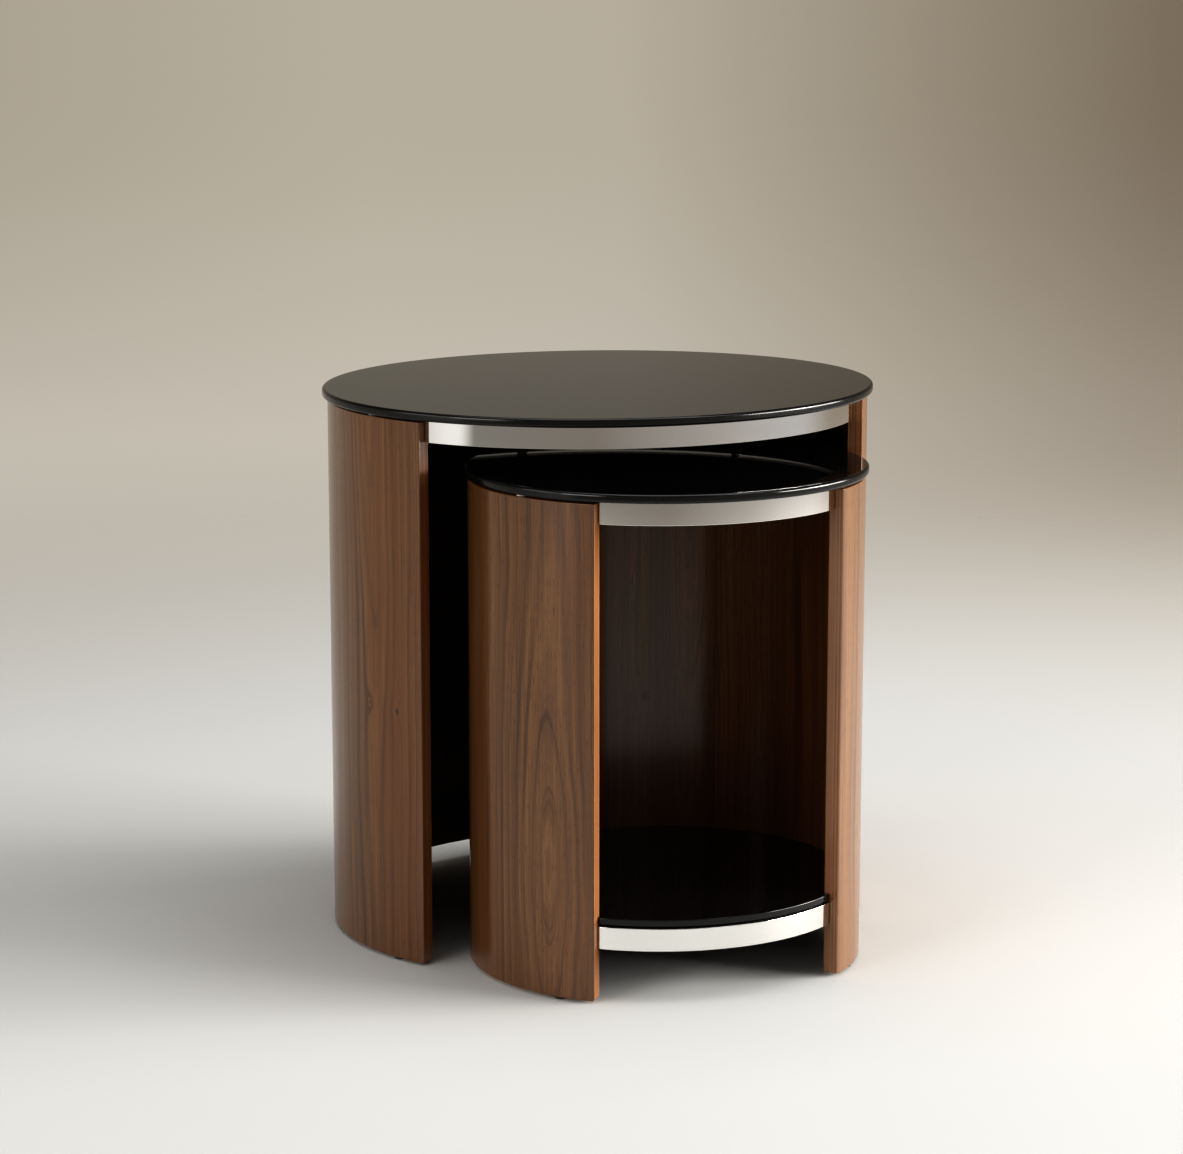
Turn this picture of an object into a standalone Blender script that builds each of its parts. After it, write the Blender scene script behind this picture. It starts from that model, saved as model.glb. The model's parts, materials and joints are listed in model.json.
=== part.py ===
"""Two oval nesting tables with bent plywood shells and black glass tops.

+Z is up, the shells open towards -Y, and the origin is on the floor, under the
middle of the pair. The small table is drawn part of the way out of the large one.
Angles run round an oval from its front (0) past its right side (90) to its back.
"""

import math

import bmesh
import bpy
from mathutils import Matrix, Vector

# Driving dimensions, in metres and degrees
LARGE = {
    "name": "large",
    "half_width": 0.255,
    "half_depth": 0.230,
    "height": 0.500,
    "overhang": 0.005,
    "opening": 60.0,
    "centre_x": 0.0,
    "centre_y": 0.044,
    "pad_angles": (0, 75, 125, 180, 235, 285),
    "glide_angles": (68, 132, 228, 292),
}
SMALL = {
    "name": "small",
    "half_width": 0.180,
    "half_depth": 0.168,
    "height": 0.447,
    "overhang": 0.003,
    "opening": 42.0,
    "centre_x": 0.009,
    "centre_y": -0.106,
    "pad_angles": (0, 68, 125, 180, 235, 292),
    "glide_angles": (54, 130, 230, 306),
}

GAP = 0.0003  # between pieces that rest on each other
STEP = 4.0  # of every curved wall
GLASS_SEGMENTS = 84
TURNED_SIDES = 12

GLASS = 0.008
GLASS_ROUND = 0.0026
TOP_SPACE = 0.002  # between a shell and its glass, taken up by the pads

WALL = 0.014
FLOOR_SPACE = 0.0025
BACK_RAISE = 0.020
BACK_JOINT = 142.0

TONGUE_LENGTH = 0.018
TONGUE_THICK = 0.004
TONGUE_TOP_STOP = 0.045
TONGUE_BOTTOM_STOP = 0.045

BAND_HEIGHT = 0.020
BAND_THICK = 0.0025
BAND_SETBACK = 0.008
BAND_END_SPACE = 0.0010

RAIL_HEIGHT = 0.018
RAIL_INNER = 0.027
RAIL_LAP = 0.054
RAIL_SCREW_AT = (0.015, 0.040)

SHELF_BAND_TOP = 0.0677
SHELF_BOARD = 0.018
SHELF_GLASS = 0.006
SHELF_GLASS_EDGE = 0.0008
SHELF_CLEARANCE = 0.0006
SHELF_GLASS_CLEARANCE = 0.0012
SHELF_PAD_ANGLES = (0, 125, 235)
SHELF_PAD_INSET = 0.045

PAD_RADIUS = 0.005
PAD_HEIGHT = TOP_SPACE - 2 * GAP

GLIDE_RADIUS = 0.0055
GLIDE_NAIL_RADIUS = 0.001
GLIDE_NAIL_LENGTH = 0.010

BRACKET_ANGLES = (100, 180, 260)
BRACKET_LEG = 0.024
BRACKET_WIDTH = 0.018
BRACKET_THICK = 0.002
BRACKET_SETBACK = 0.0008  # the flat leg clears the middle of the curved wall

# Screws: (head radius, head height, shank radius, length under the head's top)
RAIL_SCREW = (0.0034, 0.0030, 0.00175, 0.0220)
BRACKET_SCREW = (0.0030, 0.0020, 0.0015, 0.0110)

MATERIALS = {
    "walnut": ((0.22, 0.115, 0.058), 0.45, 0.0),
    "beech": ((0.62, 0.44, 0.27), 0.60, 0.0),
    "black_glass": ((0.006, 0.006, 0.007), 0.03, 0.0),
    "polished_steel": ((0.80, 0.80, 0.80), 0.05, 1.0),
    "zinc_steel": ((0.55, 0.56, 0.58), 0.35, 1.0),
    "black_board": ((0.020, 0.019, 0.018), 0.55, 0.0),
    "silicone": ((0.80, 0.80, 0.78), 0.30, 0.0),
    "nylon": ((0.045, 0.040, 0.036), 0.50, 0.0),
}


def clear_scene():
    for obj in list(bpy.data.objects):
        bpy.data.objects.remove(obj, do_unlink=True)


def make_materials():
    for name, (colour, roughness, metallic) in MATERIALS.items():
        mat = bpy.data.materials.new(name)
        mat.use_nodes = True
        shader = mat.node_tree.nodes["Principled BSDF"]
        shader.inputs["Base Color"].default_value = (*colour, 1.0)
        shader.inputs["Roughness"].default_value = roughness
        shader.inputs["Metallic"].default_value = metallic
        mat.diffuse_color = (*colour, 1.0)


# Points on an oval wall


def wall_frame(table, angle):
    """The point on the shell's outer face at this angle, and the outward normal there."""
    a = table["half_width"] - table["overhang"]
    b = table["half_depth"] - table["overhang"]
    turn = math.radians(angle)
    t = math.atan2(math.sin(turn) / a, math.cos(turn) / b)
    point = Vector((a * math.sin(t), -b * math.cos(t), 0))
    normal = Vector((math.sin(t) / a, -math.cos(t) / b, 0)).normalized()
    return point, normal


def wall_point(table, angle, inset):
    point, normal = wall_frame(table, angle)
    return point - normal * inset


def wall_matrix(table, angle, inset, height):
    """A frame on the wall: X along it, Y outwards and Z up."""
    _, normal = wall_frame(table, angle)
    along = normal.cross(Vector((0, 0, 1)))
    spot = wall_point(table, angle, inset) + Vector((0, 0, height))
    return Matrix.Translation(spot) @ Matrix((along, normal, (0, 0, 1))).transposed().to_4x4()


def degrees_for(table, angle, length):
    """How far round the wall an arc of this length reaches, at this angle."""
    point, _ = wall_frame(table, angle)
    return math.degrees(length / point.length)


def arc(table, start, end, inset):
    steps = max(2, round(abs(end - start) / STEP))
    angles = [start + (end - start) * i / steps for i in range(steps + 1)]
    return [wall_point(table, angle, inset) for angle in angles]


def stepped_ring(table, front_inset, side_inset, half_gap, reach):
    """A line with front_inset across the opening and side_inset behind the walls, out to reach."""
    opening = table["opening"]
    inside = opening - half_gap
    left = arc(table, -reach, -opening, side_inset)
    front = arc(table, -inside, inside, front_inset)
    right = arc(table, opening, reach, side_inset)
    return left + front + right


# Making objects


def finish(mesh_name, bm, material, parent):
    bmesh.ops.recalc_face_normals(bm, faces=bm.faces)
    mesh = bpy.data.meshes.new(mesh_name)
    bm.to_mesh(mesh)
    bm.free()
    mesh.materials.append(bpy.data.materials[material])
    obj = bpy.data.objects.new(mesh_name, mesh)
    bpy.context.scene.collection.objects.link(obj)
    obj.parent = parent
    return obj


def prism_mesh(outline, bottom, top):
    """The outline raised from bottom to top. Its vertices are the lower ring, then the upper one."""
    bm = bmesh.new()
    lower = [bm.verts.new((p.x, p.y, bottom)) for p in outline]
    upper = [bm.verts.new((p.x, p.y, top)) for p in outline]
    bm.faces.new(lower)
    bm.faces.new(upper)
    for i, _ in enumerate(outline):
        j = (i + 1) % len(outline)
        bm.faces.new((lower[i], lower[j], upper[j], upper[i]))
    bm.verts.index_update()
    return bm


def add_bevel(obj, width, segments, by_weight=False):
    bevel = obj.modifiers.new("edges", "BEVEL")
    bevel.width = width
    bevel.segments = segments
    bevel.limit_method = "WEIGHT" if by_weight else "ANGLE"
    bevel.angle_limit = math.radians(40)


def make_prism(name, outline, bottom, top, material, parent, bevel=0.0):
    obj = finish(name, prism_mesh(outline, bottom, top), material, parent)
    if bevel:
        add_bevel(obj, bevel, 1)
    return obj


def make_box(name, size, matrix, material, parent, bevel=0.0):
    bm = bmesh.new()
    bmesh.ops.create_cube(bm, size=1.0)
    bmesh.ops.scale(bm, vec=size, verts=bm.verts)
    obj = finish(name, bm, material, parent)
    obj.matrix_local = matrix
    if bevel:
        add_bevel(obj, bevel, 1)
    return obj


def make_turned(name, profile, matrix, material, parent):
    """A profile of (radius, height) points turned round the local Z axis."""
    bm = bmesh.new()
    points = [bm.verts.new((radius, 0, height)) for radius, height in profile]
    edges = [bm.edges.new(pair) for pair in zip(points, points[1:])]
    bmesh.ops.spin(
        bm,
        geom=points + edges,
        cent=(0, 0, 0),
        axis=(0, 0, 1),
        angle=math.tau,
        steps=TURNED_SIDES,
        use_merge=False,
    )
    bmesh.ops.remove_doubles(bm, verts=bm.verts, dist=1e-6)
    obj = finish(name, bm, material, parent)
    obj.matrix_local = matrix
    obj.data.shade_smooth()
    obj.data.set_sharp_from_angle(angle=math.radians(35))
    return obj


def hide_cutter(cutter):
    cutter.hide_render = True
    cutter.display_type = "WIRE"


def cut(obj, cutter):
    hide_cutter(cutter)
    boolean = obj.modifiers.new("cut", "BOOLEAN")
    boolean.operation = "DIFFERENCE"
    boolean.object = cutter


# Shell


def shell_top(table):
    return table["height"] - GLASS - TOP_SPACE


def make_panel(table, name, start, end, bottom, parent):
    """A bent wall from start to end. An end at the opening gets rounded edges."""
    outer = arc(table, start, end, 0.0)
    inner = arc(table, end, start, WALL)
    bm = prism_mesh(outer + inner, bottom, shell_top(table))
    count = len(outer)
    total = 2 * count
    corners = {0: start, count - 1: end, count: end, total - 1: start}
    at_opening = {i for i, angle in corners.items() if abs(angle) == table["opening"]}
    weight = bm.edges.layers.float.new("bevel_weight_edge")
    for edge in bm.edges:
        i, j = (v.index for v in edge.verts)
        ring_i, ring_j = i % total, j % total
        low = i < total and j < total
        if ring_i == ring_j:
            if ring_i in corners:
                edge[weight] = 0.4 if ring_i in at_opening else 0.1
        elif ring_i in at_opening and ring_j in at_opening:
            edge[weight] = 1.0 if low else 0.25
        else:
            edge[weight] = 0.35 if low else 0.2
    panel = finish(name, bm, "walnut", parent)
    add_bevel(panel, 0.003, 2, by_weight=True)
    return panel


def make_shell(table, parent):
    """Left, right and back walls, with loose tongues where they meet."""
    prefix = table["name"]
    half_gap = degrees_for(table, BACK_JOINT, GAP / 2)
    side_end = BACK_JOINT - half_gap
    opening = table["opening"]
    left = make_panel(table, f"{prefix}_left_panel", -opening, -side_end, FLOOR_SPACE, parent)
    right = make_panel(table, f"{prefix}_right_panel", opening, side_end, FLOOR_SPACE, parent)
    back_start = BACK_JOINT + half_gap
    back = make_panel(
        table, f"{prefix}_back_panel", back_start, 360 - back_start, BACK_RAISE, parent
    )
    low = BACK_RAISE + TONGUE_BOTTOM_STOP
    high = shell_top(table) - TONGUE_TOP_STOP
    for side, angle, panel in (("left", -BACK_JOINT, left), ("right", BACK_JOINT, right)):
        matrix = wall_matrix(table, angle, WALL / 2, (low + high) / 2)
        size = Vector((TONGUE_LENGTH, TONGUE_THICK, high - low))
        make_box(f"{prefix}_{side}_tongue", size, matrix, "beech", parent, bevel=0.0004)
        room = size + Vector((2 * GAP, 2 * GAP, 2 * GAP))
        groove = make_box(f"{prefix}_{side}_groove", room, matrix, "beech", parent)
        cut(panel, groove)
        cut(back, groove)
    return left, right, back


def make_glides(table, left, right, parent):
    """Nylon glides nailed up into the side walls."""
    prefix = table["name"]
    height = FLOOR_SPACE - GAP
    nail_top = height + GLIDE_NAIL_LENGTH
    edge = 0.0005
    profile = (
        (0, 0),
        (GLIDE_RADIUS - edge, 0),
        (GLIDE_RADIUS, edge),
        (GLIDE_RADIUS, height),
        (GLIDE_NAIL_RADIUS, height),
        (GLIDE_NAIL_RADIUS, nail_top),
        (0, nail_top),
    )
    hole_radius = GLIDE_NAIL_RADIUS + GAP
    hole_end = nail_top + GAP
    hole = ((0, height / 2), (hole_radius, height / 2), (hole_radius, hole_end), (0, hole_end))
    for number, angle in enumerate(table["glide_angles"], 1):
        matrix = wall_matrix(table, angle, WALL / 2, 0)
        make_turned(f"{prefix}_glide_{number}", profile, matrix, "nylon", parent)
        cutter = make_turned(f"{prefix}_glide_hole_{number}", hole, matrix, "nylon", parent)
        cut(right if angle < 180 else left, cutter)


# Front rail and band


def screw_profile(kind):
    head, head_height, shank, length = kind
    return (
        (0, 0),
        (head, 0),
        (shank, head_height),
        (shank, length * 0.85),
        (shank * 0.3, length),
        (0, length),
    )


def screw_hole_profile(kind, above):
    head, head_height, shank, length = kind
    return (
        (0, -above),
        (head + GAP, -above),
        (head + GAP, GAP),
        (shank + GAP, head_height + 2 * GAP),
        (shank + GAP, length + GAP),
        (0, length + GAP),
    )


def make_rail(table, left, right, parent):
    """The rail across the opening, rebated behind the walls, with its band and screws."""
    prefix = table["name"]
    opening = table["opening"]
    top = shell_top(table)
    reach = opening + degrees_for(table, opening, RAIL_LAP)
    face_inset = BAND_SETBACK + BAND_THICK + GAP
    half_gap = degrees_for(table, opening, BAND_END_SPACE)
    outline = stepped_ring(table, face_inset, WALL + GAP, half_gap, reach)
    outline += arc(table, reach, -reach, RAIL_INNER)
    rail = make_prism(f"{prefix}_front_rail", outline, top - RAIL_HEIGHT, top, "walnut", parent)
    band_top = table["height"] - GLASS - GAP
    make_band(table, f"{prefix}_front_band", band_top, parent)

    numbers = iter(range(1, 5))
    for side, panel in ((-1, left), (1, right)):
        for distance in RAIL_SCREW_AT:
            number = next(numbers)
            angle = side * (opening + degrees_for(table, opening, distance))
            spot = wall_matrix(table, angle, RAIL_INNER - GAP, top - RAIL_HEIGHT / 2)
            matrix = spot @ Matrix.Rotation(math.radians(-90), 4, "X")
            make_turned(
                f"{prefix}_rail_screw_{number}", screw_profile(RAIL_SCREW), matrix, "zinc_steel", parent
            )
            hole = make_turned(
                f"{prefix}_rail_screw_hole_{number}",
                screw_hole_profile(RAIL_SCREW, 0.003),
                matrix,
                "zinc_steel",
                parent,
            )
            cut(rail, hole)
            cut(panel, hole)


def make_band(table, name, top, parent):
    reach = table["opening"] - degrees_for(table, table["opening"], BAND_END_SPACE)
    outline = arc(table, -reach, reach, BAND_SETBACK)
    outline += arc(table, reach, -reach, BAND_SETBACK + BAND_THICK)
    make_prism(name, outline, top - BAND_HEIGHT, top, "polished_steel", parent, bevel=0.0007)


# Glass and pads


def make_glass_top(table, parent):
    bm = bmesh.new()
    bmesh.ops.create_circle(bm, cap_ends=True, radius=1.0, segments=GLASS_SEGMENTS)
    bmesh.ops.scale(bm, vec=(table["half_width"], table["half_depth"], 1), verts=bm.verts)
    bmesh.ops.translate(bm, vec=(0, 0, table["height"] - GLASS), verts=bm.verts)
    raised = bmesh.ops.extrude_face_region(bm, geom=list(bm.faces))["geom"]
    verts = [v for v in raised if isinstance(v, bmesh.types.BMVert)]
    bmesh.ops.translate(bm, vec=(0, 0, GLASS), verts=verts)
    glass = finish(f"{table['name']}_top_glass", bm, "black_glass", parent)
    add_bevel(glass, GLASS_ROUND, 2)


def make_pad(name, matrix, parent):
    profile = ((0, 0), (PAD_RADIUS, 0), (PAD_RADIUS, PAD_HEIGHT), (0, PAD_HEIGHT))
    make_turned(name, profile, matrix, "silicone", parent)


def make_top_pads(table, parent):
    """One pad on the rail, two on each side wall and one on the back wall."""
    height = shell_top(table) + GAP
    for number, angle in enumerate(table["pad_angles"], 1):
        inset = WALL / 2 if angle else (RAIL_INNER + BAND_SETBACK + BAND_THICK) / 2
        matrix = wall_matrix(table, angle, inset, height)
        make_pad(f"{table['name']}_top_pad_{number}", matrix, parent)


# Shelf of the small table


def shelf_outline(table, front_inset, wall_clearance):
    """Round the back inside the walls and out to front_inset across the opening."""
    end_gap = degrees_for(table, table["opening"], BAND_END_SPACE)
    return stepped_ring(table, front_inset, WALL + wall_clearance, end_gap, 180)[:-1]


def make_shelf(table, parent):
    board_top = SHELF_BAND_TOP
    board_bottom = board_top - SHELF_BOARD
    face_inset = BAND_SETBACK + BAND_THICK + GAP
    board = make_prism(
        "small_shelf_board",
        shelf_outline(table, face_inset, SHELF_CLEARANCE),
        board_bottom,
        board_top,
        "black_board",
        parent,
    )
    make_band(table, "small_shelf_band", SHELF_BAND_TOP, parent)
    glass_bottom = board_top + TOP_SPACE
    make_prism(
        "small_shelf_glass",
        shelf_outline(table, BAND_SETBACK, SHELF_GLASS_CLEARANCE),
        glass_bottom,
        glass_bottom + SHELF_GLASS,
        "black_glass",
        parent,
        bevel=SHELF_GLASS_EDGE,
    )
    for number, angle in enumerate(SHELF_PAD_ANGLES, 1):
        matrix = wall_matrix(table, angle, SHELF_PAD_INSET, board_top + GAP)
        make_pad(f"small_shelf_pad_{number}", matrix, parent)
    return board, board_bottom


def make_bracket(name, frame, parent):
    """A steel angle: one leg down the wall, one leg in under the board."""
    leg, thick = BRACKET_LEG, BRACKET_THICK
    corner = [(0, 0), (-leg, 0), (-leg, -thick), (-thick, -thick), (-thick, -leg), (0, -leg)]
    bm = bmesh.new()
    face = bm.faces.new([bm.verts.new((-BRACKET_WIDTH / 2, y, z)) for y, z in corner])
    raised = bmesh.ops.extrude_face_region(bm, geom=[face])["geom"]
    verts = [v for v in raised if isinstance(v, bmesh.types.BMVert)]
    bmesh.ops.translate(bm, vec=(BRACKET_WIDTH, 0, 0), verts=verts)
    bracket = finish(name, bm, "zinc_steel", parent)
    bracket.matrix_local = frame
    add_bevel(bracket, 0.0004, 1)
    return bracket


def make_brackets(table, board, board_bottom, walls, parent):
    head, head_height, shank, length = BRACKET_SCREW
    sink = 0.0006  # how far the head stands clear of the leg it passes through
    for number, (angle, wall) in enumerate(zip(BRACKET_ANGLES, walls), 1):
        frame = wall_matrix(table, angle, WALL + BRACKET_SETBACK, board_bottom - GAP)
        bracket = make_bracket(f"small_shelf_bracket_{number}", frame, parent)
        inner_face = BRACKET_THICK + head_height + sink
        up = Matrix.Translation((0, -BRACKET_LEG * 0.6, -inner_face))
        out = Matrix.Translation((0, -inner_face, -BRACKET_LEG * 0.6)) @ Matrix.Rotation(
            math.radians(-90), 4, "X"
        )
        for kind, spot, target in (("board", up, board), ("wall", out, wall)):
            profile = (
                (0, 0),
                (head * 0.6, 0),
                (head, head_height * 0.6),
                (head, head_height),
                (shank, head_height),
                (shank, length),
                (0, length),
            )
            hole = (
                (0, head_height + sink / 2),
                (shank + GAP, head_height + sink / 2),
                (shank + GAP, length + GAP),
                (0, length + GAP),
            )
            name = f"small_bracket_{number}_{kind}_screw"
            make_turned(name, profile, frame @ spot, "zinc_steel", parent)
            cutter = make_turned(f"{name}_hole", hole, frame @ spot, "zinc_steel", parent)
            cut(bracket, cutter)
            cut(target, cutter)


def make_table(table):
    empty = bpy.data.objects.new(f"{table['name']}_table", None)
    bpy.context.scene.collection.objects.link(empty)
    empty.location = (table["centre_x"], table["centre_y"], 0)
    left, right, back = make_shell(table, empty)
    make_glides(table, left, right, empty)
    make_rail(table, left, right, empty)
    make_top_pads(table, empty)
    make_glass_top(table, empty)
    return empty, (right, back, left)


clear_scene()
make_materials()
make_table(LARGE)
small_parent, small_walls = make_table(SMALL)
shelf_board, shelf_bottom = make_shelf(SMALL, small_parent)
make_brackets(SMALL, shelf_board, shelf_bottom, small_walls, small_parent)
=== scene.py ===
import json
import math

import bpy
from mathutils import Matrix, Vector


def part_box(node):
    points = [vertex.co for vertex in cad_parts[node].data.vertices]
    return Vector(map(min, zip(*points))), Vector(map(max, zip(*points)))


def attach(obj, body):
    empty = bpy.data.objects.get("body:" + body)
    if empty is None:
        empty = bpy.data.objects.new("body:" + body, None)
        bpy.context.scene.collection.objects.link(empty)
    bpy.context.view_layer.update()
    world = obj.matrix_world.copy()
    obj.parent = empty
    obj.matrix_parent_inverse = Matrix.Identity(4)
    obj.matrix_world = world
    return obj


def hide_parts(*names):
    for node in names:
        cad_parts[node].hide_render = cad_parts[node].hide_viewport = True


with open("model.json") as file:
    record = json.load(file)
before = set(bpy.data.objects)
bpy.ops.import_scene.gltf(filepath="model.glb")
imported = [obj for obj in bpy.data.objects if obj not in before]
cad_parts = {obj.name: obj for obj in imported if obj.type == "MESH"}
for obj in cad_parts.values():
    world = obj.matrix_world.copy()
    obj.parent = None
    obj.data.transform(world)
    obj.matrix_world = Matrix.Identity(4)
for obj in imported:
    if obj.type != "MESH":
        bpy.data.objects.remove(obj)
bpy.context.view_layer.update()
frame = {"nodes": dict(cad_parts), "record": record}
nodes = frame["nodes"]
print("frame loaded:", len(nodes), "nodes")


# Blender's tools, as by hand

def makeActive(piece):
    bpy.ops.object.select_all(action="DESELECT")
    piece.select_set(True)
    bpy.context.view_layer.objects.active = piece


def editAll(piece):
    makeActive(piece)
    bpy.ops.object.mode_set(mode="EDIT")
    bpy.ops.mesh.select_mode(type="VERT")
    bpy.ops.mesh.select_all(action="SELECT")


def leaveEdit():
    bpy.ops.object.mode_set(mode="OBJECT")


def applyModifier(piece, kind, **settings):
    makeActive(piece)
    modifier = piece.modifiers.new(kind.lower(), kind)
    for key, value in settings.items():
        setattr(modifier, key, value)
    bpy.ops.object.modifier_apply(modifier=modifier.name)


def smoothByAngle(piece, angle=35):
    makeActive(piece)
    bpy.ops.object.shade_smooth_by_angle(angle=math.radians(angle))
    applyModifier(piece, "WEIGHTED_NORMAL", keep_sharp=True)


def roundEdges(piece, widthOf, widest, segments, sharpest=50):
    # widthOf gives the rounding of each sharp edge from its two end points
    editAll(piece)
    bpy.ops.mesh.select_all(action="DESELECT")
    bpy.ops.mesh.select_mode(type="EDGE")
    bpy.ops.mesh.edges_select_sharp(sharpness=math.radians(sharpest))
    leaveEdit()
    mesh = piece.data
    weights = mesh.attributes.new("bevel_weight_edge", "FLOAT", "EDGE")
    for edge in mesh.edges:
        if edge.select:
            first, second = (mesh.vertices[i].co for i in edge.vertices)
            weights.data[edge.index].value = widthOf(first, second) / widest
    applyModifier(piece, "BEVEL", width=widest, segments=segments, limit_method="WEIGHT",
                  use_clamp_overlap=True)


# Ovals: the middle, and the half sizes of a shell's outer face

ovalSteps = 360


def ovalUnder(glassNode, overhang):
    low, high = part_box(glassNode)
    middle = (low + high) / 2
    return {
        "x": middle.x,
        "y": middle.y,
        "wide": (high.x - low.x) / 2 - overhang,
        "deep": (high.y - low.y) / 2 - overhang,
    }


def roundFromFront(oval, spot):
    # the angle of a spot, from the front (0) past the right side (90) to the back
    return math.degrees(math.atan2(spot.x - oval["x"], oval["y"] - spot.y))


def degreesFor(oval, angle, length):
    turn = math.radians(angle)
    t = math.atan2(math.sin(turn) / oval["wide"], math.cos(turn) / oval["deep"])
    reach = math.hypot(oval["wide"] * math.sin(t), oval["deep"] * math.cos(t))
    return math.degrees(length / reach)


def keepWedge(piece, oval, start, end):
    # cuts away all but the part from start to end, under half a turn apart
    editAll(piece)
    for angle, isStart in ((start, True), (end, False)):
        turn = math.radians(angle)
        bpy.ops.mesh.select_all(action="SELECT")
        bpy.ops.mesh.bisect(
            plane_co=(oval["x"], oval["y"], 0),
            plane_no=(math.cos(turn), math.sin(turn), 0),
            clear_inner=isStart,
            clear_outer=not isStart,
            threshold=1e-6,
        )
    leaveEdit()


def ovalRing(name, oval, low, high, filled=False):
    bpy.ops.object.select_all(action="DESELECT")
    bpy.ops.mesh.primitive_circle_add(
        vertices=ovalSteps, radius=1, fill_type="NGON" if filled else "NOTHING",
        location=(oval["x"], oval["y"], low),
    )
    ring = bpy.context.active_object
    ring.name = name
    ring.scale = (oval["wide"], oval["deep"], 1)
    bpy.ops.object.transform_apply(location=True, rotation=True, scale=True)
    editAll(ring)
    bpy.ops.mesh.extrude_region_move(TRANSFORM_OT_translate={"value": (0, 0, high - low)})
    bpy.ops.mesh.select_all(action="SELECT")
    bpy.ops.mesh.normals_make_consistent(inside=False)
    leaveEdit()
    return ring


def writeGrain(piece, oval):
    # how far along the wall, how high, and how deep in from its outer face
    mesh = piece.data
    grain = mesh.attributes.new("grain", "FLOAT_VECTOR", "POINT")
    mean = (oval["wide"] + oval["deep"]) / 2
    for vertex in mesh.vertices:
        x = (vertex.co.x - oval["x"]) / oval["wide"]
        y = (vertex.co.y - oval["y"]) / oval["deep"]
        out = math.hypot(x, y)
        reach = math.hypot(vertex.co.x - oval["x"], vertex.co.y - oval["y"]) / out
        along = math.atan2(x, -y)
        if piece["pastBack"] and along < 0:
            along += math.tau
        grain.data[vertex.index].vector = (along * mean, vertex.co.z, (1 - out) * reach)


# Node trees

def newMaterial(name):
    made = bpy.data.materials.new(name)
    made.use_nodes = True
    return made, made.node_tree.nodes["Principled BSDF"]


def addNode(owner, kind, inputs=None, **settings):
    made = owner.node_tree.nodes.new(kind)
    for key, value in settings.items():
        setattr(made, key, value)
    for socket, value in (inputs or {}).items():
        if isinstance(value, bpy.types.NodeSocket):
            owner.node_tree.links.new(value, made.inputs[socket])
        else:
            made.inputs[socket].default_value = value
    return made


def plug(owner, value, shader, socket):
    owner.node_tree.links.new(value, shader.inputs[socket])


def calc(owner, operation, *values):
    return addNode(owner, "ShaderNodeMath", dict(enumerate(values)), operation=operation).outputs[0]


def swing(owner, value, amount):
    # a noise value, made to swing both ways about zero
    return calc(owner, "MULTIPLY", calc(owner, "SUBTRACT", value, 0.5), amount)


def unitsFrom(owner, value, start, unit):
    return calc(owner, "DIVIDE", calc(owner, "SUBTRACT", value, start), unit)


def squares(owner, first, second):
    return calc(owner, "ADD", calc(owner, "MULTIPLY", first, first),
                calc(owner, "MULTIPLY", second, second))


def vectorCalc(owner, operation, first, second):
    made = addNode(owner, "ShaderNodeVectorMath", {0: first, 1: second}, operation=operation)
    return made.outputs[0]


def noise(owner, vector, scale, detail=2.0, roughness=0.5, distortion=0.0):
    made = addNode(owner, "ShaderNodeTexNoise", {
        "Vector": vector, "Scale": scale, "Detail": detail, "Roughness": roughness,
        "Distortion": distortion,
    })
    return made.outputs["Fac"]


def lineNoise(owner, value, scale, detail=2.0, roughness=0.5):
    made = addNode(owner, "ShaderNodeTexNoise", {
        "W": value, "Scale": scale, "Detail": detail, "Roughness": roughness,
    }, noise_dimensions="1D")
    return made.outputs["Fac"]


def spread(owner, value, low, high, toLow=0.0, toHigh=1.0, smooth=False):
    made = addNode(owner, "ShaderNodeMapRange", {
        "Value": value, "From Min": low, "From Max": high, "To Min": toLow, "To Max": toHigh,
    }, interpolation_type="SMOOTHSTEP" if smooth else "LINEAR")
    return made.outputs["Result"]


def mixColour(owner, amount, first, second, blend="MIX"):
    made = addNode(owner, "ShaderNodeMix", {
        0: amount,
        6: first if isinstance(first, bpy.types.NodeSocket) else (*first, 1),
        7: second if isinstance(second, bpy.types.NodeSocket) else (*second, 1),
    }, data_type="RGBA", blend_type=blend)
    return made.outputs[2]


def colourRamp(owner, value, stops):
    made = addNode(owner, "ShaderNodeValToRGB", {"Fac": value})
    band = made.color_ramp
    while len(band.elements) < len(stops):
        band.elements.new(0.5)
    for element, (position, colour) in zip(band.elements, stops):
        element.position = position
        element.color = (*colour, 1)
    return made.outputs["Color"]


def bump(owner, shader, height, strength, distance):
    made = addNode(owner, "ShaderNodeBump", {
        "Strength": strength, "Distance": distance, "Height": height,
    })
    plug(owner, made.outputs["Normal"], shader, "Normal")


# Walnut veneer. The figure is a set of nested rings, drawn out upwards, round each eye:
# (along the wall, height, half width, half height), with knots as (along, height, size).
# A leaf with a lift value is painted lighter all over: painted light on the two right panels, which face the
# lamps

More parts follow.
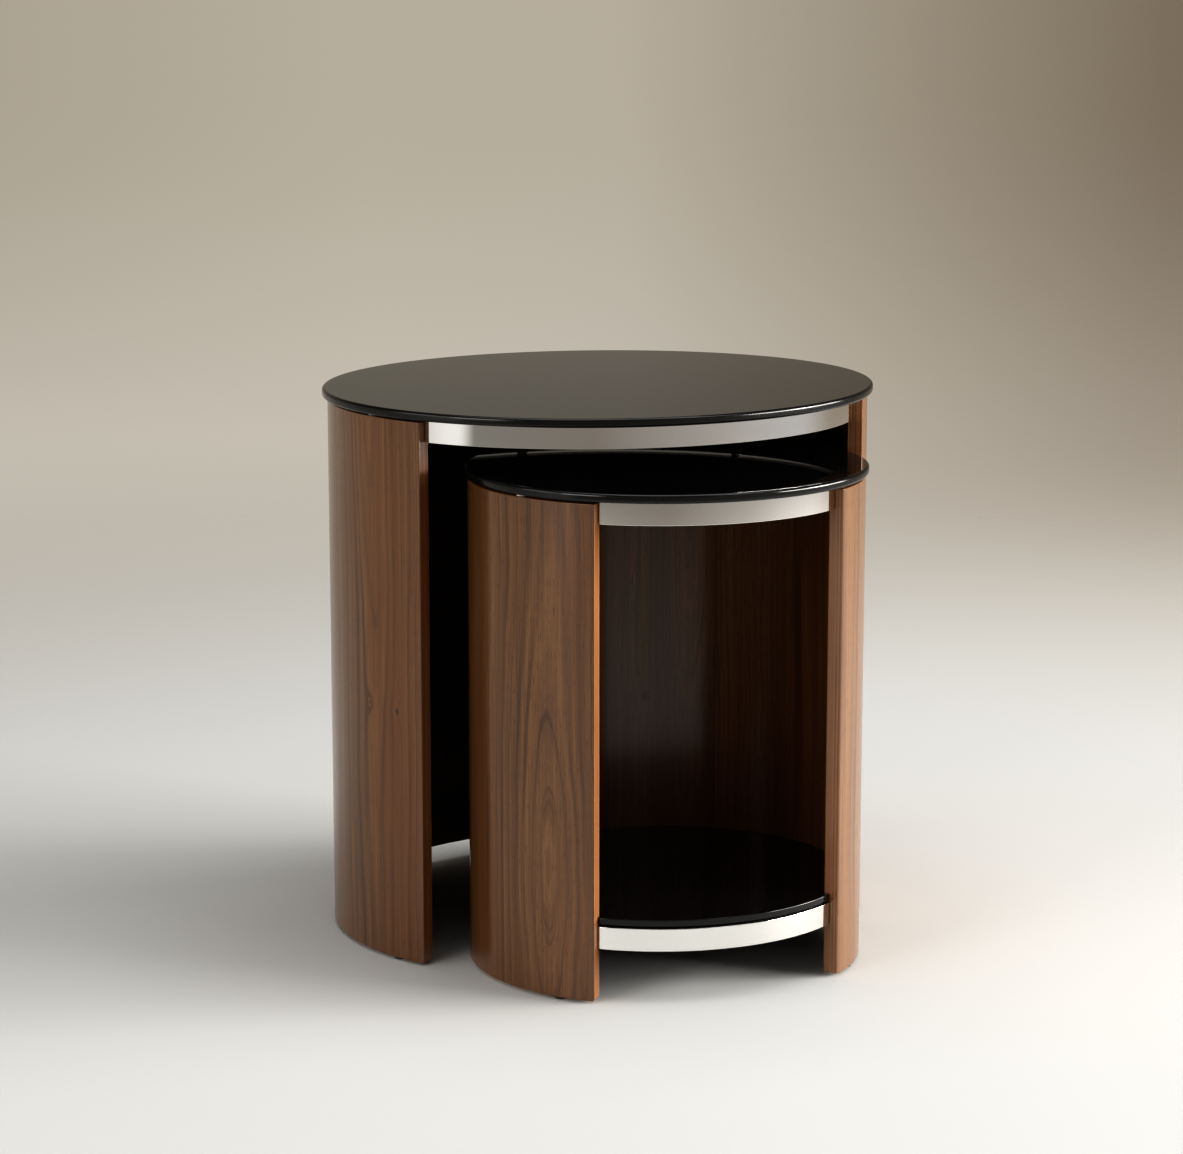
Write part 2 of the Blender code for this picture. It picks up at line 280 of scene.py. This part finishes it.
walnut = {
    "dark": (0.052, 0.022, 0.0090),
    "middle": (0.140, 0.064, 0.0230),
    "light": (0.242, 0.122, 0.0460),
    "red": (0.166, 0.063, 0.0180),
    "stops": (0.26, 0.62, 0.84),
    "weights": {"broad": 0.34, "fine": 0.22, "streaks": 0.44, "hair": 0.30, "line": 0.15, "pores": 0.27},
    "warmest": 0.55,
    "innerFrom": 0.007,  # deeper in than this is the wall's inner face, with a leaf of its own
    "innerShift": 3.7,
    "innerRings": 23.7,
    "slowWander": 0.034,
    "quickWander": 0.0038,
    "ringsUpLimit": 3.0,  # rings wider than this many units never close, and run on upright
    "ringsBlend": 0.8,
    "lineWidth": 0.040,
    "lineDark": 0.45,
    "knot": (0.016, 0.010, 0.007),
    "knotStrength": 0.65,
    "knotTall": 1.6,
    "knotPull": 0.8,
    "knotPullFade": 0.22,
    "knotWobble": 2.6,
    "streakRough": 0.12,
    "relief": 0.4,
    "reliefDeep": 0.00012,
    "roughness": 0.42,
    "specular": 0.35,
    "coat": 0.8,
    "coatRoughness": 0.16,
    "leaves": {
        "large_left_panel": {"seed": 1.7, "eyes": [(-0.300, 0.520, 0.0085, 0.090)],
                             "knots": [(-0.268, 0.229, 0.0030), (-0.305, 0.232, 0.0022)]},
        "large_right_panel": {"seed": 8.3, "paintedLightLift": 0.07, "eyes": [(0.330, 0.180, 0.011, 0.200)],
                              "knots": []},
        "large_back_panel": {"seed": 4.1, "eyes": [(0.690, 0.300, 0.013, 0.190)], "knots": []},
        "small_left_panel": {"seed": 6.2, "eyes": [(-0.163, 0.118, 0.0095, 0.055)],
                             "knots": []},
        "small_right_panel": {"seed": 2.9, "paintedLightLift": 0.07, "eyes": [(0.230, 0.330, 0.012, 0.160)],
                              "knots": []},
        "small_back_panel": {"seed": 9.6, "eyes": [(0.455, 0.420, 0.012, 0.150)],
                             "knots": [(0.4985, 0.201, 0.0042)]},
    },
}


def walnutFace(name, leaf):
    made, shader = newMaterial(name)
    grain = addNode(made, "ShaderNodeAttribute", attribute_name="grain").outputs["Vector"]
    parts = addNode(made, "ShaderNodeSeparateXYZ", {0: grain})
    inside = calc(made, "GREATER_THAN", parts.outputs["Z"], walnut["innerFrom"])
    offset = addNode(made, "ShaderNodeCombineXYZ", {
        "X": leaf["seed"], "Y": leaf["seed"] * 1.3,
        "Z": calc(made, "MULTIPLY", inside, walnut["innerShift"]),
    }).outputs[0]
    flat = addNode(made, "ShaderNodeCombineXYZ", {
        "X": parts.outputs["X"], "Y": parts.outputs["Y"], "Z": 0.0,
    }).outputs[0]

    def stretched(x, y):
        moved = vectorCalc(made, "MULTIPLY", flat, (x, y, 1))
        return vectorCalc(made, "ADD", moved, offset)

    # the lines wander slowly, and a little at short range
    slow = swing(made, noise(made, stretched(7, 3.0), 1.0, 1.5), walnut["slowWander"])
    quick = swing(made, noise(made, stretched(60, 14), 1.0, 2.0), walnut["quickWander"])
    wander = calc(made, "ADD", slow, quick)
    along = calc(made, "ADD", parts.outputs["X"], wander)

    rings = None
    for x, z, halfWide, halfHigh in leaf["eyes"]:
        limit = walnut["ringsUpLimit"]
        sideways = unitsFrom(made, along, x, halfWide)
        upwards = unitsFrom(made, parts.outputs["Y"], z, halfHigh)
        upwards = calc(made, "MULTIPLY", calc(made, "TANH", calc(made, "DIVIDE", upwards, limit)), limit)
        field = calc(made, "SQRT", squares(made, sideways, upwards))
        if rings is None:
            rings = field
        else:
            rings = calc(made, "SMOOTH_MIN", rings, field, walnut["ringsBlend"])
    rings = calc(made, "ADD", rings, calc(made, "MULTIPLY", inside, walnut["innerRings"]))
    for x, z, size in leaf["knots"]:
        nearX = unitsFrom(made, parts.outputs["X"], x, size)
        nearZ = unitsFrom(made, parts.outputs["Y"], z, size * walnut["knotTall"])
        fade = calc(made, "MULTIPLY", squares(made, nearX, nearZ), walnut["knotPullFade"])
        pull = calc(made, "DIVIDE", walnut["knotPull"], calc(made, "ADD", 1.0, fade))
        rings = calc(made, "ADD", rings, pull)

    broad = lineNoise(made, rings, 0.55, 1.0, 0.5)
    fine = lineNoise(made, calc(made, "ADD", rings, 31.0), 2.3, 3.0, 0.6)
    crossing = calc(made, "SUBTRACT", lineNoise(made, rings, 1.0, 1.0, 0.4), 0.5)
    line = spread(made, calc(made, "ABSOLUTE", crossing), 0.0, walnut["lineWidth"], 1.0, 0.0, smooth=True)
    lineStrength = spread(made, noise(made, stretched(18, 5), 1.0, 1.0), 0.35, 0.62, 0.15, 1.0)
    line = calc(made, "MULTIPLY", line, lineStrength)
    streaks = noise(made, stretched(330, 5), 1.0, 3.0, 0.6)
    hair = noise(made, stretched(1150, 16), 1.0, 2.0, 0.6)
    pores = spread(made, noise(made, stretched(1500, 80), 1.0, 1.0), 0.60, 0.72, 0.0, 1.0)

    weights = walnut["weights"]
    # the lift paints the lamp-facing right panels lighter: painted light
    tone = calc(made, "ADD", calc(made, "MULTIPLY", broad, weights["broad"]), leaf.get("paintedLightLift", 0.0))
    for operation, figure, weight in (
        ("ADD", fine, weights["fine"]), ("ADD", streaks, weights["streaks"]), ("ADD", hair, weights["hair"]),
        ("SUBTRACT", line, weights["line"]), ("SUBTRACT", pores, weights["pores"]),
    ):
        tone = calc(made, operation, tone, calc(made, "MULTIPLY", figure, weight))
    shades = [walnut["dark"], walnut["middle"], walnut["light"]]
    colour = colourRamp(made, tone, list(zip(walnut["stops"], shades)))
    warm = spread(made, noise(made, stretched(11, 1.7), 1.0, 2.0), 0.38, 0.66, 0.0, walnut["warmest"])
    colour = mixColour(made, warm, colour, walnut["red"])
    colour = mixColour(made, calc(made, "MULTIPLY", line, walnut["lineDark"]), colour, walnut["dark"])

    for x, z, size in leaf["knots"]:
        wobble = swing(made, noise(made, stretched(260, 260), 1.0, 2.0), walnut["knotWobble"])
        nearX = unitsFrom(made, parts.outputs["X"], x, size)
        nearZ = unitsFrom(made, parts.outputs["Y"], z, size)
        away = calc(made, "ADD", calc(made, "SQRT", squares(made, nearX, nearZ)), wobble)
        knot = spread(made, away, 0.35, 1.3, walnut["knotStrength"], 0.0, smooth=True)
        colour = mixColour(made, knot, colour, walnut["knot"])

    plug(made, colour, shader, "Base Color")
    rough = calc(made, "ADD", walnut["roughness"] - walnut["streakRough"] / 2,
                 calc(made, "MULTIPLY", streaks, walnut["streakRough"]))
    plug(made, rough, shader, "Roughness")
    shader.inputs["Specular IOR Level"].default_value = walnut["specular"]
    shader.inputs["Coat Weight"].default_value = walnut["coat"]
    shader.inputs["Coat Roughness"].default_value = walnut["coatRoughness"]
    relief = calc(made, "SUBTRACT", calc(made, "MULTIPLY", hair, 0.5), pores)
    bump(made, shader, relief, walnut["relief"], walnut["reliefDeep"])
    return made


plyEdge = {
    "light": (0.315, 0.142, 0.050),
    "dark": (0.150, 0.056, 0.015),
    # painted light and shade: the small left panel's end face, which faces the lamps, is painted lighter,
    # and the large left panel's end face, in the small table's shade, is painted darker
    "paintedLightTones": {"small_left_panel": 1.35, "large_left_panel": 0.9},
    "stops": (0.50, 0.82),
    "layer": 0.0016,
    "wave": 0.0006,
    "weights": {"layers": 0.75, "fibres": 0.35, "mottled": 0.25},
    "roughness": 0.36,
    "fibreRough": 0.1,
}


def plyEdgeFace(name, seed, paintedLightScale):
    made, shader = newMaterial(name)
    grain = addNode(made, "ShaderNodeAttribute", attribute_name="grain").outputs["Vector"]
    parts = addNode(made, "ShaderNodeSeparateXYZ", {0: grain})
    wave = swing(made, noise(made, grain, 9.0, 1.0), plyEdge["wave"])
    depth = calc(made, "ADD", calc(made, "ADD", parts.outputs["Z"], wave), seed)
    layers = lineNoise(made, depth, 1 / plyEdge["layer"], 1.5, 0.5)
    long = addNode(made, "ShaderNodeCombineXYZ", {
        "X": calc(made, "MULTIPLY", depth, 1500.0),
        "Y": calc(made, "MULTIPLY", parts.outputs["Y"], 14.0), "Z": seed,
    }).outputs[0]
    fibres = noise(made, long, 1.0, 3.0, 0.6)
    mottled = noise(made, vectorCalc(made, "MULTIPLY", grain, (30, 9, 30)), 1.0, 2.0)
    weights = plyEdge["weights"]
    tone = calc(made, "ADD", calc(made, "MULTIPLY", layers, weights["layers"]),
                calc(made, "MULTIPLY", fibres, weights["fibres"]))
    tone = calc(made, "ADD", tone, calc(made, "MULTIPLY", mottled, weights["mottled"]))
    # the scale paints the end face lighter where lit and darker where shaded: painted light and shade
    shades = [[part * paintedLightScale for part in plyEdge[shade]] for shade in ("dark", "light")]
    plug(made, colourRamp(made, tone, list(zip(plyEdge["stops"], shades))), shader, "Base Color")
    rough = calc(made, "ADD", plyEdge["roughness"], calc(made, "MULTIPLY", fibres, plyEdge["fibreRough"]))
    plug(made, rough, shader, "Roughness")
    shader.inputs["Coat Weight"].default_value = walnut["coat"]
    shader.inputs["Coat Roughness"].default_value = walnut["coatRoughness"]
    bump(made, shader, fibres, 0.15, 0.0001)
    return made


# Black glass

blackGlass = {
    "colour": (0.0035, 0.0035, 0.004),
    "haze": (0.006, 0.006, 0.0065),
    "roughness": 0.018,
    "edgeColour": (0.010, 0.011, 0.011),
    "edgeRoughness": 0.14,  # ground and polished
}


def glassMaterial(name, colour="colour", roughness="roughness"):
    made, shader = newMaterial(name)
    place = addNode(made, "ShaderNodeTexCoord").outputs["Object"]
    haze = noise(made, place, 6.0, 3.0)
    plug(made, mixColour(made, haze, blackGlass[colour], blackGlass["haze"]), shader, "Base Color")
    rough = blackGlass[roughness]
    plug(made, spread(made, haze, 0.3, 0.7, rough * 0.7, rough * 1.5), shader, "Roughness")
    shader.inputs["IOR"].default_value = 1.5
    return made


# Polished steel bands

polishedBand = {"colour": (0.90, 0.89, 0.87), "shade": (0.84, 0.83, 0.81), "roughness": 0.06}


def bandMaterial(name):
    made, shader = newMaterial(name)
    grain = addNode(made, "ShaderNodeAttribute", attribute_name="grain").outputs["Vector"]
    lines = noise(made, vectorCalc(made, "MULTIPLY", grain, (9, 2600, 30)), 1.0, 2.0)
    cloudy = noise(made, vectorCalc(made, "MULTIPLY", grain, (14, 40, 1)), 1.0, 2.0)
    plug(made, mixColour(made, cloudy, polishedBand["colour"], polishedBand["shade"]), shader, "Base Color")
    shader.inputs["Metallic"].default_value = 1.0
    rough = polishedBand["roughness"]
    plug(made, spread(made, lines, 0.3, 0.7, rough * 0.8, rough * 1.4), shader, "Roughness")
    return made


# Carried-over CAD pieces: screws, brackets, pads, glides, tongues, rails and the board

def speckled(name, first, second, scale, roughness, metallic=0.0, relief=0.1, stretch=(1, 1, 1), **sockets):
    made, shader = newMaterial(name)
    place = addNode(made, "ShaderNodeTexCoord").outputs["Object"]
    place = vectorCalc(made, "MULTIPLY", place, stretch)
    broad = noise(made, place, scale, 3.0, 0.6)
    small = noise(made, place, scale * 6, 2.0, 0.5)
    amount = calc(made, "ADD", calc(made, "MULTIPLY", broad, 0.7), calc(made, "MULTIPLY", small, 0.3))
    plug(made, mixColour(made, spread(made, amount, 0.3, 0.7), first, second), shader, "Base Color")
    plug(made, spread(made, small, 0.3, 0.7, roughness * 0.85, roughness * 1.15), shader, "Roughness")
    shader.inputs["Metallic"].default_value = metallic
    for socket, value in sockets.items():
        shader.inputs[socket].default_value = value
    bump(made, shader, small, relief, 0.0001)
    return made


carried = {
    "zinc_screw": speckled("zincScrew", (0.46, 0.47, 0.49), (0.62, 0.62, 0.62), 900, 0.34, 1.0),
    "zinc_bracket": speckled("zincBracket", (0.40, 0.41, 0.43), (0.58, 0.58, 0.59), 300, 0.38, 1.0),
    "clear_pad": speckled("clearPad", (0.70, 0.70, 0.68), (0.82, 0.82, 0.80), 500, 0.30),
    "nylon_glide": speckled("nylonGlide", (0.036, 0.032, 0.029), (0.055, 0.049, 0.044), 700, 0.50),
    "beech_tongue": speckled("beechTongue", (0.52, 0.35, 0.21), (0.68, 0.49, 0.31), 60, 0.60,
                             stretch=(8, 8, 0.4)),
    "walnut_rail": speckled("walnutRail", (0.10, 0.052, 0.030), (0.20, 0.108, 0.062), 40, 0.42,
                            stretch=(1, 1, 14)),
    "black_board": speckled("blackBoard", (0.016, 0.015, 0.014), (0.026, 0.025, 0.023), 250, 0.55),
}

for part in frame["record"]["subparts"]:
    if part["material_slot"] in carried:
        for holder in nodes[part["node"]].material_slots:
            holder.material = carried[part["material_slot"]]
print("finishes made")


# The shells

tables = {
    "large": {"body": "large_table", "overhang": 0.005, "opening": 60, "shelf": False},
    "small": {"body": "small_table", "overhang": 0.003, "opening": 42, "shelf": True},
}

shell = {
    "wall": 0.014,
    "joint": 142,  # where the side walls meet the back wall
    "jointGap": 0.0003,
    "front": 0.0013,  # rounding of the edges at the opening
    "frontCorner": 0.0030,
    "bottom": 0.0010,
    "top": 0.0006,
    "seam": 0.0003,
    "segments": 4,
    "nearOpening": 1.5,  # degrees
    "uprightFrom": 0.1,
    "facesOut": 0.75,
}


def makePanel(table, oval, side, start, end):
    node = f"{table}_{side}_panel"
    low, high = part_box(node)
    opening = tables[table]["opening"]
    panel = ovalRing(f"{table}{side.capitalize()}Panel", oval, low.z, high.z)
    keepWedge(panel, oval, start, end)
    applyModifier(panel, "SOLIDIFY", thickness=shell["wall"], offset=-1, use_even_offset=True)
    middle = (low.z + high.z) / 2

    def widthOf(first, second):
        turns = [abs(roundFromFront(oval, spot)) for spot in (first, second)]
        atFront = [abs(turn - opening) < shell["nearOpening"] for turn in turns]
        upright = abs(first.z - second.z) > shell["uprightFrom"]
        isLow = max(first.z, second.z) < middle
        if upright:
            return shell["front"] if all(atFront) else shell["seam"]
        if all(atFront) and (first - second).length > shell["wall"] * 0.8:
            return shell["frontCorner"] if isLow else shell["top"]
        return shell["bottom"] if isLow else shell["top"]

    roundEdges(panel, widthOf, shell["frontCorner"], shell["segments"])
    panel["pastBack"] = side == "back"
    writeGrain(panel, oval)
    smoothByAngle(panel)

    name = panel.name
    panel.data.materials.append(walnutFace(f"{name}Veneer", walnut["leaves"][node]))
    # each end face gets its painted light and shade scale here
    panel.data.materials.append(plyEdgeFace(
        f"{name}Edge", walnut["leaves"][node]["seed"], plyEdge["paintedLightTones"].get(node, 1.0)))
    for face in panel.data.polygons:
        spot = face.center - Vector((oval["x"], oval["y"], 0))
        outwards = Vector((spot.x / oval["wide"] ** 2, spot.y / oval["deep"] ** 2, 0)).normalized()
        face.material_index = 0 if abs(face.normal.dot(outwards)) > shell["facesOut"] else 1
    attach(panel, tables[table]["body"])
    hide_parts(node)


# Glass tops

glass = {"round": 0.0026, "segments": 6, "flatFrom": 0.97}


def makeGlassTop(table):
    node = f"{table}_top_glass"
    low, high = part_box(node)
    pane = ovalRing(f"{table}TopGlass", ovalUnder(node, 0), low.z, high.z, filled=True)
    roundEdges(pane, lambda first, second: glass["round"], glass["round"], glass["segments"])
    smoothByAngle(pane)
    pane.data.materials.append(glassMaterial(f"{pane.name}Black"))
    pane.data.materials.append(glassMaterial(f"{pane.name}Edge", "edgeColour", "edgeRoughness"))
    for face in pane.data.polygons:
        face.material_index = 0 if abs(face.normal.z) > glass["flatFrom"] else 1
    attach(pane, tables[table]["body"])
    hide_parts(node)


# Bands: bent from strip, set back from the shell's outer face

band = {"setBack": 0.008, "thick": 0.0025, "endSpace": 0.001, "round": 0.0005, "segments": 3}


def makeBand(node, name, table, oval):
    low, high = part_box(node)
    opening = tables[table]["opening"]
    reach = opening - degreesFor(oval, opening, band["endSpace"])
    strip = ovalRing(name, oval, low.z, high.z)
    keepWedge(strip, oval, -reach, reach)
    editAll(strip)
    bpy.ops.transform.shrink_fatten(value=-band["setBack"])
    leaveEdit()
    applyModifier(strip, "SOLIDIFY", thickness=band["thick"], offset=-1, use_even_offset=True)
    roundEdges(strip, lambda first, second: band["round"], band["round"], band["segments"])
    strip["pastBack"] = False
    writeGrain(strip, oval)
    smoothByAngle(strip)
    strip.data.materials.append(bandMaterial(f"{name}Steel"))
    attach(strip, tables[table]["body"])
    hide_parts(node)


# Shelf glass: its front reaches out between the walls' ends

shelfGlass = {
    "wallSpace": 0.0012,
    "edge": 0.0010,
    "segments": 3,
    "spare": 0.01,  # how far the cutters stand out past the glass
    "overlap": 0.5,  # degrees that one cutter reaches into the next
    "split": (150, 210),
}


def makeShelfGlass(oval):
    node = "small_shelf_glass"
    low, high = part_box(node)
    opening = tables["small"]["opening"]
    pane = ovalRing("smallShelfGlass", oval, low.z, high.z, filled=True)
    pane.data.materials.append(glassMaterial("smallShelfGlassBlack"))

    # brought in to the band's face, then the walls' room is cut out of it
    editAll(pane)
    bpy.ops.transform.resize(
        value=(1 - band["setBack"] / oval["wide"], 1 - band["setBack"] / oval["deep"], 1),
        center_override=(oval["x"], oval["y"], low.z),
    )
    leaveEdit()
    room = shell["wall"] + shelfGlass["wallSpace"]
    endGap = degreesFor(oval, opening, band["endSpace"])
    spare = shelfGlass["spare"]
    overlap = shelfGlass["overlap"]
    right, left = shelfGlass["split"]
    for start, end in (
        (opening - endGap, right + overlap),
        (right - overlap, left + overlap),
        (left - overlap, 360 - opening + endGap),
    ):
        cutter = ovalRing("wallRoom", oval, low.z - spare, high.z + spare)
        keepWedge(cutter, oval, start, end)
        editAll(cutter)
        bpy.ops.transform.shrink_fatten(value=spare)
        leaveEdit()
        applyModifier(cutter, "SOLIDIFY", thickness=room + spare, offset=-1, use_even_offset=True)
        applyModifier(pane, "BOOLEAN", operation="DIFFERENCE", object=cutter, solver="EXACT")
        bpy.data.objects.remove(cutter)
    editAll(pane)
    bpy.ops.mesh.remove_doubles(threshold=1e-5)
    leaveEdit()
    roundEdges(pane, lambda first, second: shelfGlass["edge"], shelfGlass["edge"], shelfGlass["segments"])
    smoothByAngle(pane)
    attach(pane, "small_table")
    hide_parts(node)


for table, settings in tables.items():
    oval = ovalUnder(f"{table}_top_glass", settings["overhang"])
    joint = shell["joint"]
    half = degreesFor(oval, joint, shell["jointGap"] / 2)
    makePanel(table, oval, "left", -joint + half, -settings["opening"])
    makePanel(table, oval, "right", settings["opening"], joint - half)
    makePanel(table, oval, "back", joint + half, 360 - joint - half)
    makeGlassTop(table)
    makeBand(f"{table}_front_band", f"{table}FrontBand", table, oval)
    if settings["shelf"]:
        makeBand("small_shelf_band", "smallShelfBand", table, oval)
        makeShelfGlass(oval)
    print(table, "table made")


# Floor, surroundings, light and camera

floor = {
    "radius": 6.0,
    "near": (0.70, 0.712, 0.708),
    "far": (0.66, 0.62, 0.55),
    "fadeFrom": 0.7,
    "fadeTo": 3.2,
    "mottle": 0.02,
    "roughness": 0.75,
    "specular": 0.15,
}


def makeFloor():
    bpy.ops.object.select_all(action="DESELECT")
    bpy.ops.mesh.primitive_circle_add(vertices=128, radius=floor["radius"], fill_type="NGON")
    ground = bpy.context.active_object
    ground.name = "floor"
    editAll(ground)
    bpy.ops.mesh.select_mode(type="FACE")
    bpy.ops.mesh.select_all(action="SELECT")
    bpy.ops.mesh.inset(thickness=floor["radius"] * 0.5)
    leaveEdit()
    made, shader = newMaterial("floorPaint")
    place = addNode(made, "ShaderNodeTexCoord").outputs["Object"]
    away = addNode(made, "ShaderNodeVectorMath", {0: place}, operation="LENGTH").outputs["Value"]
    mottle = noise(made, place, 3.0, 3.0)
    tint = spread(made, away, floor["fadeFrom"], floor["fadeTo"], 0.0, 1.0, smooth=True)
    tint = calc(made, "ADD", tint, swing(made, mottle, floor["mottle"]))
    plug(made, mixColour(made, tint, floor["near"], floor["far"]), shader, "Base Color")
    shader.inputs["Roughness"].default_value = floor["roughness"]
    shader.inputs["Specular IOR Level"].default_value = floor["specular"]
    fade = spread(made, away, floor["fadeFrom"], floor["fadeTo"], 0.0, 1.0, smooth=True)
    clear = addNode(made, "ShaderNodeBsdfTransparent")
    both = addNode(made, "ShaderNodeMixShader", {0: fade, 1: shader.outputs[0], 2: clear.outputs[0]})
    plug(made, both.outputs[0], made.node_tree.nodes["Material Output"], "Surface")
    ground.data.materials.append(made)


# The studio round the object. The wall behind it is palest left of the middle and darkest at the right
surroundings = {
    "behind": [
        (0.15, (0.33, 0.30, 0.25)),
        (0.28, (0.377, 0.346, 0.289)),
        (0.35, (0.373, 0.341, 0.289)),
        (0.42, (0.285, 0.252, 0.202)),
        (0.49, (0.192, 0.160, 0.122)),
    ],
    "ahead": [
        (0.0, (0.72, 0.71, 0.69)),
        (0.03, (0.68, 0.67, 0.65)),
        (0.05, (0.21, 0.20, 0.18)),
        (0.38, (0.21, 0.19, 0.17)),
        (0.76, (0.33, 0.31, 0.29)),
        (1.0, (0.42, 0.41, 0.40)),
    ],
    "low": [
        (0.15, (0.50, 0.475, 0.435)),
        (0.33, (0.49, 0.465, 0.425)),
        (0.48, (0.385, 0.35, 0.305)),
    ],
    "above": (0.06, 0.058, 0.055),
    "dim": 0.64,
    "lowest": 0.85,
    "strength": 1.0,
}


def makeSurroundings():
    world = bpy.data.worlds.new("studio")
    world.use_nodes = True
    bpy.context.scene.world = world
    sky = world.node_tree.nodes["Background"]
    direction = addNode(world, "ShaderNodeTexCoord").outputs["Generated"]
    parts = addNode(world, "ShaderNodeSeparateXYZ", {0: direction})
    colour = colourRamp(world, parts.outputs["X"], surroundings["behind"])
    dim = spread(world, parts.outputs["Z"], 0.0, 0.2, 1.0, surroundings["dim"], smooth=True)
    grey = addNode(world, "ShaderNodeCombineXYZ", {"X": dim, "Y": dim, "Z": dim}).outputs[0]
    colour = mixColour(world, 1.0, colour, grey, "MULTIPLY")
    lower = spread(world, parts.outputs["Z"], -0.05, -0.22, 0.0, surroundings["lowest"], smooth=True)
    colour = mixColour(world, lower, colour, colourRamp(world, parts.outputs["X"], surroundings["low"]))
    ahead = spread(world, parts.outputs["Y"], 0.25, -0.25, 0.0, 1.0, smooth=True)
    across = spread(world, parts.outputs["X"], -1.0, 1.0)
    colour = mixColour(world, ahead, colour, colourRamp(world, across, surroundings["ahead"]))
    upward = spread(world, parts.outputs["Z"], 0.22, 0.55, 0.0, 1.0, smooth=True)
    colour = mixColour(world, upward, colour, surroundings["above"])
    plug(world, colour, sky, "Color")
    sky.inputs["Strength"].default_value = surroundings["strength"]


# Area lights: where they stand (degrees from the front towards the right, degrees up, metres away)
lights = {
    "key": {"from": (42, 55, 2.6), "size": (1.0, 1.0), "power": 6, "colour": (1.0, 0.98, 0.95)},
    "side": {"from": (62, 12, 5.0), "size": (3.0, 1.9), "power": 270, "colour": (1.0, 0.97, 0.93)},
    "right": {"from": (80, 11, 5.0), "size": (2.6, 1.9), "power": 150, "colour": (1.0, 0.97, 0.93)},
    "fill": {"from": (-62, 16, 4.0), "size": (1.6, 2.2), "power": 40, "colour": (1.0, 0.98, 0.95)},
    "left": {"from": (-90, 20, 4.0), "size": (1.6, 2.2), "power": 16, "colour": (1.0, 0.98, 0.96)},
    "top": {"from": (0, 89, 3.0), "size": (2.4, 2.4), "power": 30, "colour": (1.0, 0.98, 0.96)},
}


def makeLights():
    aim = Vector((0, 0, 0.25))
    for name, settings in lights.items():
        around, up, distance = settings["from"]
        around, up = math.radians(around), math.radians(up)
        level = math.cos(up)
        direction = Vector((math.sin(around) * level, -math.cos(around) * level, math.sin(up)))
        lamp = bpy.data.lights.new(name, "AREA")
        lamp.shape = "RECTANGLE"
        lamp.size, lamp.size_y = settings["size"]
        lamp.energy = settings["power"]
        lamp.color = settings["colour"]
        holder = bpy.data.objects.new(name, lamp)
        holder.location = aim + direction * distance
        holder.rotation_euler = direction.to_track_quat("Z", "Y").to_euler()
        bpy.context.scene.collection.objects.link(holder)


camera = {
    "spot": (-1.0892, -2.9294, 0.9334),
    "heading": 20.0,
    "down": 11.0,
    "lens": 105.9,
    "sensor": 36.0,
}


def makeCamera():
    lens = bpy.data.cameras.new("camera")
    lens.lens = camera["lens"]
    lens.sensor_width = camera["sensor"]
    holder = bpy.data.objects.new("camera", lens)
    heading, down = math.radians(camera["heading"]), math.radians(camera["down"])
    level = math.cos(down)
    looking = Vector((math.sin(heading) * level, math.cos(heading) * level, -math.sin(down)))
    holder.location = camera["spot"]
    holder.rotation_euler = looking.to_track_quat("-Z", "Y").to_euler()
    bpy.context.scene.collection.objects.link(holder)
    bpy.context.scene.camera = holder


makeFloor()
makeSurroundings()
makeLights()
makeCamera()
bpy.context.scene.view_settings.view_transform = "Standard"
bpy.context.scene.view_settings.look = "High Contrast"
print("stage made")
